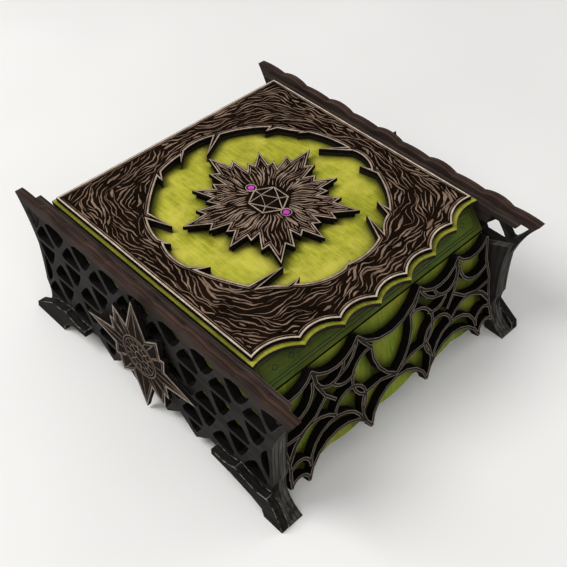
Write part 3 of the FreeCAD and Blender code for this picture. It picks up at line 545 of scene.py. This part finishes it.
class Relief:
    """Raised lines on one flat face, gathered in a single piece."""

    def __init__(self, normal, height=RIDGE_HEIGHT):
        self.normal = normal
        self.height = height
        self.points = []
        self.faces = []

    def rows(self, rows, closed):
        first = len(self.points)
        sides = len(rows[0])
        for row in rows:
            self.points.extend(row)
        for index in range(len(rows) if closed else len(rows) - 1):
            here = first + index * sides
            there = first + (index + 1) % len(rows) * sides
            for side in range(sides - 1):
                self.faces.append((here + side, there + side, there + side + 1, here + side + 1))

    def band(self, loop, near, far):
        """A line along a sheet's edge, between two distances from it."""
        slope = (far - near) * BAND_SLOPE
        lift = self.normal * self.height
        low = inset(loop, self.normal, near)
        high = inset(loop, self.normal, far)
        top_low = [point + lift for point in inset(loop, self.normal, near + slope)]
        top_high = [point + lift for point in inset(loop, self.normal, far - slope)]
        self.rows([list(row) for row in zip(high, top_high, top_low, low)], True)

    def line(self, points, width, taper=True, closed=False, uneven=0.0):
        """A line through points, pointed at both ends if it tapers, and thicker or thinner by the noise."""
        rows = []
        count = len(points)
        for index, point in enumerate(points):
            before = points[index - 1] if closed or index else point
            after = points[(index + 1) % count] if closed or index < count - 1 else point
            side = self.normal.cross((after - before).normalized())
            swell = 1.0
            if taper:
                share = (index + TAPER_TIP) / (count - 1 + 2 * TAPER_TIP)
                swell = math.sin(math.pi * share) ** TAPER_POWER
            if uneven:
                swell *= 1 + uneven * waver(point.x, point.y, UNEVEN_BUMPS, 4.4)
            half = side * width * 0.5 * swell
            lift = self.normal * self.height
            top = half * RIDGE_TOP
            rows.append([point - half, point - top + lift, point + top + lift, point + half])
        self.rows(rows, closed)

    def contour(self, loop, region, distance, width):
        """A line that follows a sheet's edge on its inside, wherever the region has room for it."""
        run = []
        for start, end in zip(loop, loop[1:] + loop[:1]):
            steps = max(1, round((end - start).length / FLOW_STEP))
            run.extend(start.lerp(end, step / steps) for step in range(steps))
        kept = []
        for point in inset(run, self.normal, distance) + [None]:
            if point is not None and region.holds(point.x, point.y):
                kept.append(point)
                continue
            if len(kept) >= SHORTEST_LINE:
                self.line(kept, width, uneven=CONTOUR_UNEVEN)
            kept = []

    def piece(self, name, look, body, slot):
        mesh = bpy.data.meshes.new(name)
        mesh.from_pydata(self.points, [], self.faces)
        mesh.validate()
        made = bpy.data.objects.new(name, mesh)
        bpy.context.scene.collection.objects.link(made)
        mesh.materials.append(LOOKS[look])
        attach(made, body)


# ---------------------------------------------------------------- engraved flow lines
class Region:
    """The part of a flat face that lines may run in, away from its edges and from given circles."""

    def __init__(self, loops, margin, circles=()):
        self.segments = [(loop[index - 1], point) for loop in loops for index, point in enumerate(loop)]
        self.margin = margin
        self.circles = circles

    def holds(self, x, y):
        for centre_x, centre_y, radius in self.circles:
            if math.hypot(x - centre_x, y - centre_y) < radius:
                return False
        inside = False
        for start, end in self.segments:
            run_x, run_y = end.x - start.x, end.y - start.y
            length = run_x * run_x + run_y * run_y
            share = ((x - start.x) * run_x + (y - start.y) * run_y) / length
            share = clamped(share)
            if math.hypot(x - start.x - share * run_x, y - start.y - share * run_y) < self.margin:
                return False
            if (start.y > y) != (end.y > y) and x < start.x + (y - start.y) / run_y * run_x:
                inside = not inside
        return inside


class FlowLines:
    """Evenly spaced lines along a direction field, grown from seeded random points."""

    def __init__(self, region, direction, spacing):
        self.region = region
        self.direction = direction
        self.spacing = spacing
        self.cells = {}

    def cell(self, x, y):
        return math.floor(x / self.spacing), math.floor(y / self.spacing)

    def crowded(self, x, y, distance):
        column, row = self.cell(x, y)
        for near_column in (column - 1, column, column + 1):
            for near_row in (row - 1, row, row + 1):
                for other_x, other_y in self.cells.get((near_column, near_row), ()):
                    if math.hypot(x - other_x, y - other_y) < distance:
                        return True
        return False

    def walk(self, x, y, sign, limit, ending):
        points = []
        for _ in range(limit):
            angle = self.direction(x, y)
            x += math.cos(angle) * FLOW_STEP * sign
            y += math.sin(angle) * FLOW_STEP * sign
            if not self.region.holds(x, y) or self.crowded(x, y, ending):
                break
            points.append((x, y))
        return points

    def keep(self, x, y):
        self.cells.setdefault(self.cell(x, y), []).append((x, y))

    def grow(self, chance, low, high, tries, longest, guard=0.0):
        """Lines through random points; a guard keeps later lines this much further away."""
        lines = []
        for _ in range(tries):
            x = chance.uniform(low.x, high.x)
            y = chance.uniform(low.y, high.y)
            if self.crowded(x, y, self.spacing) or not self.region.holds(x, y):
                continue
            limit = chance.randint(longest // 4 + 1, longest)
            ending = self.spacing * chance.uniform(*FLOW_ENDING)
            line = self.walk(x, y, -1, limit, ending)[::-1] + [(x, y)] + self.walk(x, y, 1, limit, ending)
            if len(line) < SHORTEST_LINE:
                continue
            lines.append(line)
            for x, y in line:
                self.keep(x, y)
                if guard:
                    side = self.direction(x, y) + math.pi / 2
                    for offset in (-guard, guard):
                        self.keep(x + math.cos(side) * offset, y + math.sin(side) * offset)
        return lines


def waver(x, y, size, seed):
    """Smooth noise with bumps of about the size."""
    return noise.noise(Vector((x / size, y / size, seed)))


def clamped(value):
    return min(1.0, max(0.0, value))


def bend(x, y, bends):
    return sum(turn * waver(x, y, size, seed) for turn, size, seed in bends)


def bark_direction(x, y):
    """Round the opening near it, and along the lid's sides further out, wavering like bark."""
    across = (x - FLOW_CENTRE.x) / FLOW_EXTENT
    along = (y - FLOW_CENTRE.y) / FLOW_EXTENT
    reach = math.hypot(across, along)
    power = ROUND_POWER + (SQUARE_POWER - ROUND_POWER) * clamped((reach - SQUARE_FROM) / SQUARE_OVER)
    slope_across = math.copysign(abs(across) ** (power - 1), across)
    slope_along = math.copysign(abs(along) ** (power - 1), along)
    return math.atan2(slope_across, -slope_along) + bend(x, y, BARK_BENDS)


def flame_direction(x, y):
    """Outwards from the medallion's middle, with a slow twist."""
    return math.atan2(y - FLOW_CENTRE.y, x - FLOW_CENTRE.x) + bend(x, y, FLAME_BENDS)


def bark_paleness(x, y):
    """How much of the bark stands in a place, from 0, thin lines, to 1, broad ones."""
    factor, offset = BARK_CONTRAST
    return clamped(factor * waver(x, y, BARK_PATCH, 6.3) - offset)


def flame_paleness(x, y):
    """Broad lines in the medallion's middle, and thin ones towards its points."""
    reach = math.hypot(x - FLOW_CENTRE.x, y - FLOW_CENTRE.y)
    return clamped((FLAME_THIN - reach) / FLAME_CHANGE)


def flow_relief(node, region, direction, paleness, spacing, widths, seed, tries, longest, patches):
    """Ridges all over a face: first a few broad patches, and then lines between them."""
    low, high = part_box(node)
    flow = FlowLines(region, direction, spacing)
    chance = random.Random(seed)
    relief = Relief(UP)
    for line in flow.grow(chance, low, high, patches, BROAD_STEPS, BROAD_GUARD):
        points = [Vector((x, y, high.z)) for x, y in line]
        relief.line(points, chance.uniform(*BROAD_WIDTH), uneven=BROAD_UNEVEN)
    for line in flow.grow(chance, low, high, tries, longest):
        points = [Vector((x, y, high.z)) for x, y in line]
        pale = paleness(*line[len(line) // 2])
        uneven = UNEVEN_THIN + (UNEVEN_BROAD - UNEVEN_THIN) * pale
        relief.line(points, chance.uniform(*widths) + pale * WIDENING * spacing, uneven=uneven)
    return relief


def dress_lid():
    """Bark ridges and pale edge lines on the bark layer, and thin lines along the green ledge."""
    loops = face_loops("lid_relief", UP)
    bark = flow_relief("lid_relief", Region(loops, BARK_MARGIN), bark_direction, bark_paleness,
                       BARK_SPACING, BARK_WIDTH, seed=11, tries=14000, longest=26, patches=50)
    near_edge = Region(loops, CONTOUR - CONTOUR_WIDTH / 3)
    for loop in loops:
        bark.contour(loop, near_edge, CONTOUR, CONTOUR_WIDTH)
    bark.piece("bark_ridges", "ridge", "lid", "bark")
    outline = max(loops, key=lambda loop: max(point.x for point in loop))
    edge = Relief(UP)
    edge.band(outline, *EDGE_LINE)
    edge.piece("bark_edge_line", "edge_line", "lid", "bark")
    rim = Relief(UP)
    for loop in loops:
        if loop is not outline:
            rim.band(loop, *EDGE_LINE)
    rim.piece("opening_edge_line", "rim_line", "lid", "bark")
    ledge = Relief(UP, LEDGE_LINE_HEIGHT)
    for loop in face_loops("lid_frame", UP):
        ledge.band(loop, *LEDGE_LINE)
    ledge.piece("ledge_lines", "lid_green", "lid", "green_board")


def ring(middle, radius, across, upward, steps):
    """Points of a circle, from two directions in its plane."""
    turns = [math.tau * index / steps for index in range(steps)]
    return [middle + across * radius * math.cos(turn) + upward * radius * math.sin(turn) for turn in turns]


def dress_medallion():
    """Flowing lines out from the middle, a twenty-sided die as line work, and a ring round each gem."""
    gems = []
    for gem in ("gem_front", "gem_back"):
        low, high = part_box(gem)
        gems.append(((low.x + high.x) / 2, (low.y + high.y) / 2, (high.x - low.x) / 2))
    circles = [(x, y, radius + GEM_CLEAR) for x, y, radius in gems]
    circles.append((FLOW_CENTRE.x, FLOW_CENTRE.y, BOSS_RADIUS + BOSS_CLEAR))
    outside = max(face_loops("medallion_face", UP), key=len)
    flames = flow_relief("medallion_face", Region([outside], FLAME_MARGIN, circles), flame_direction,
                         flame_paleness, FLAME_SPACING, FLAME_WIDTH, seed=5, tries=7000, longest=16,
                         patches=20)
    flames.contour(outside, Region([outside], FLAME_CONTOUR_MARGIN, circles), FLAME_CONTOUR, CONTOUR_WIDTH)
    flames.piece("medallion_flames", "flame", "lid", "bark")
    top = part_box("medallion_face")[1].z
    lines = Relief(UP)
    lines.band(outside, *FLAME_EDGE_LINE)

    def at(angle, radius):
        turn = math.radians(angle)
        return Vector((FLOW_CENTRE.x + radius * math.cos(turn), FLOW_CENTRE.y + radius * math.sin(turn), top))

    corners = [at(30 + 60 * index, BOSS_RADIUS) for index in range(6)]
    inner = [at(90 + 120 * index, BOSS_RADIUS * BOSS_INNER) for index in range(3)]
    outline_width, triangle_width, between_width = BOSS_WIDTHS
    lines.line(corners, outline_width, taper=False, closed=True)
    lines.line(inner, triangle_width, taper=False, closed=True)
    for index, corner in enumerate(inner):
        for step in range(3):
            lines.line([corner, corners[(2 * index + step) % 6]], between_width, taper=False)
    for x, y, radius in gems:
        around = ring(Vector((x, y, top)), radius + GEM_RING, RIGHT, BACK, GEM_RING_STEPS)
        lines.line(around, GEM_RING_WIDTH, taper=False, closed=True)
    lines.piece("medallion_lines", "rim_line", "lid", "bark")


def dress_star(side, outward):
    """Double outline, compass rings and spokes, and a ray into every point and outer notch of the star."""
    node = "star_face_" + side
    low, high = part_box(node)
    centre = Vector((low.x if outward.x < 0 else high.x, 0, (low.z + high.z) / 2))
    outline = max(face_loops(node, outward), key=len)
    rim = Relief(outward)
    rim.band(outline, *STAR_OUTLINES[0])
    rim.piece("star_edge_lines_" + side, "star_line", "case", "lattice")
    lines = Relief(outward)
    lines.band(outline, *STAR_OUTLINES[1])

    def ray(direction, start, end, width):
        reaches = [start + (end - start) * step / STAR_RAY_STEPS for step in range(STAR_RAY_STEPS + 1)]
        lines.line([centre + direction * reach for reach in reaches], width)

    around = ring(Vector(), 1.0, BACK, UP, STAR_RING_STEPS)
    for radius, width in STAR_RINGS:
        lines.line([centre + direction * radius for direction in around], width, taper=False, closed=True)
    spoke_steps = STAR_RING_STEPS // STAR_SPOKES
    for direction in around[::spoke_steps]:
        ray(direction, *STAR_SPOKE)
    for direction in around[spoke_steps // 2::spoke_steps]:
        ray(direction, *STAR_SHORT_SPOKE)
    for index, point in enumerate(outline):
        before = (outline[index - 1] - centre).length
        after = (outline[(index + 1) % len(outline)] - centre).length
        reach = (point - centre).length
        direction = (point - centre).normalized()
        if reach > max(before, after):
            share, width = STAR_POINT_RAY
            ray(direction, STAR_RAY_START, reach * share, width)
        elif reach < min(before, after) and reach > STAR_OUTER_NOTCH:
            short, width = STAR_NOTCH_RAY
            ray(direction, STAR_RAY_START, reach - short, width)
    lines.piece("star_lines_" + side, "compass", "case", "lattice")


def dress_fascia():
    """A double frame with round corners and a row of plain lozenges on the sloping board."""
    half_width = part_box("fascia")[1].x
    loop = max(face_loops("fascia", FASCIA_OUT), key=len)
    middle = sum(loop, Vector()) / len(loop)
    upward = FASCIA_OUT.cross(RIGHT)
    if upward.z < 0:
        upward = -upward
    half_height = max((point - middle).dot(upward) for point in loop)
    engraving = Relief(FASCIA_OUT, ENGRAVED_HEIGHT)
    for inset_by in FRAME_INSETS:
        across = half_width - inset_by - FRAME_CORNER
        along = half_height - inset_by - FRAME_CORNER
        frame_points = []
        for x_sign, y_sign, start in ((1, 1, 0), (-1, 1, 90), (-1, -1, 180), (1, -1, 270)):
            for step in range(FRAME_CORNER_STEPS + 1):
                turn = math.radians(start + 90 * step / FRAME_CORNER_STEPS)
                x = x_sign * across + FRAME_CORNER * math.cos(turn)
                y = y_sign * along + FRAME_CORNER * math.sin(turn)
                frame_points.append(middle + RIGHT * x + upward * y)
        engraving.line(frame_points, ENGRAVED_LINE, taper=False, closed=True)
    for index in range(LOZENGES):
        place = middle + RIGHT * ((index + 0.5) / LOZENGES - 0.5) * 2 * (half_width - LOZENGE_END)
        lozenge = ring(place, LOZENGE, RIGHT, upward * LOZENGE_FLATTENED, 4)
        engraving.line(lozenge, ENGRAVED_LINE, taper=False, closed=True)
    engraving.piece("fascia_engraving", "engraved", "case", "green_board")


def dress_web():
    """Pale rubbed lines along both edges of every thread."""
    lines = Relief(FRONT_OUT, WEB_LINE_HEIGHT)
    for loop in face_loops("drawer_web", FRONT_OUT):
        lines.band(loop, *WEB_LINE)
    lines.piece("web_edge_lines", "web_line_shaded", "drawer", "web")


# ---------------------------------------------------------------- studio
CAMERA_PLACE = Vector((-0.31445, -0.32595, 0.50619))
CAMERA_LOOK = Vector((0.4869, 0.4925, -0.7214))
CAMERA_ROLL = math.radians(0.54)
CAMERA_LENS = 57.87         # millimetres, like the sensor's width
CAMERA_SENSOR = 36.0
LAMPS = (                   # name, place, size, watts
    ("key_light", Vector((-0.75, 0.55, 1.25)), 0.8, 16.0),
    ("fill_light", Vector((-0.5, -1.2, 0.9)), 1.2, 5.0),
    ("side_light", Vector((1.2, -0.4, 0.9)), 1.0, 3.0),
)
LAMPS_AIM = Vector((0, 0, 0.06))
WORLD_LIGHT = 0.5           # strength that lights the chest
WORLD_SEEN = 0.86           # strength that the camera, gloss and glass see
FLOOR_REACH = 6.0
FLOOR_DROP = 0.2 * MM       # floor below the feet
FLOOR_FADE = (0.7, 1.8)     # from the chest: where the floor begins and ends to turn into the backdrop


def place_camera():
    """The view from above the chest's front left corner."""
    data = bpy.data.cameras.new("camera")
    data.lens = CAMERA_LENS
    data.sensor_width = CAMERA_SENSOR
    data.sensor_fit = "HORIZONTAL"
    camera = bpy.data.objects.new("camera", data)
    bpy.context.scene.collection.objects.link(camera)
    turn = CAMERA_LOOK.to_track_quat("-Z", "Y").to_matrix().to_4x4()
    camera.matrix_world = Matrix.Translation(CAMERA_PLACE) @ turn @ Matrix.Rotation(CAMERA_ROLL, 4, "Z")
    bpy.context.scene.camera = camera


def area_light(name, place, size, watts):
    data = bpy.data.lights.new(name, "AREA")
    data.shape = "DISK"
    data.size = size
    data.energy = watts
    light = bpy.data.objects.new(name, data)
    bpy.context.scene.collection.objects.link(light)
    light.location = place
    light.rotation_euler = (LAMPS_AIM - place).to_track_quat("-Z", "Y").to_euler()


def seen_share(tree):
    """1 for what the camera, gloss and glass see, and 0 for the light that falls on the chest."""
    rays = tree.nodes.new("ShaderNodeLightPath")
    seen = rays.outputs["Is Camera Ray"]
    for name in ("Is Glossy Ray", "Is Transmission Ray"):
        either = tree.nodes.new("ShaderNodeMath")
        either.operation = "MAXIMUM"
        tree.links.new(seen, either.inputs[0])
        tree.links.new(rays.outputs[name], either.inputs[1])
        seen = either.outputs[0]
    return seen


def studio_floor_look():
    """A pale floor that takes the chest's shadow and, far away, looks like the backdrop."""
    shader = Shader("studio_floor")
    clouds = shader.noise(3.0, detail=2.0)
    colour = shader.ramp(clouds, [(0.3, srgb(226, 225, 223)), (0.7, srgb(234, 233, 231))])
    away = shader.node("ShaderNodeVectorMath", operation="LENGTH")
    shader.link(shader.coords.outputs["Object"], away.inputs[0])
    far = shader.fade(away.outputs["Value"], *FLOOR_FADE, interpolation_type="SMOOTHSTEP")
    backdrop = shader.node("ShaderNodeEmission")
    backdrop.inputs["Strength"].default_value = WORLD_SEEN
    blend = shader.node("ShaderNodeMixShader")
    shader.link(shader.math("MULTIPLY", far, seen_share(shader.tree)), blend.inputs[0])
    shader.link(shader.surface.outputs[0], blend.inputs[1])
    shader.link(backdrop.outputs[0], blend.inputs[2])
    shader.link(blend.outputs[0], shader.tree.nodes["Material Output"].inputs["Surface"])
    return shader.finish(colour, roughness=0.8, specular=0.1)


def build_studio():
    mesh = bpy.data.meshes.new("studio_floor")
    corners = ((-1, -1), (1, -1), (1, 1), (-1, 1))
    mesh.from_pydata([(x * FLOOR_REACH, y * FLOOR_REACH, 0) for x, y in corners], [], [(0, 1, 2, 3)])
    floor = bpy.data.objects.new("studio_floor", mesh)
    bpy.context.scene.collection.objects.link(floor)
    floor.location.z = -FLOOR_DROP
    mesh.materials.append(studio_floor_look())
    for lamp in LAMPS:
        area_light(*lamp)
    world = bpy.data.worlds.new("studio")
    bpy.context.scene.world = world
    world.use_nodes = True
    tree = world.node_tree
    background = tree.nodes["Background"]
    level = tree.nodes.new("ShaderNodeMapRange")
    level.inputs["To Min"].default_value = WORLD_LIGHT
    level.inputs["To Max"].default_value = WORLD_SEEN
    tree.links.new(seen_share(tree), level.inputs["Value"])
    tree.links.new(level.outputs["Result"], background.inputs["Strength"])
    background.inputs["Color"].default_value = (1, 1, 1, 1)
    bpy.context.scene.view_settings.view_transform = "Standard"


dress_nodes()
dress_lid()
dress_medallion()
dress_star("left", LEFT)
dress_star("right", RIGHT)
dress_fascia()
dress_web()
place_camera()
build_studio()
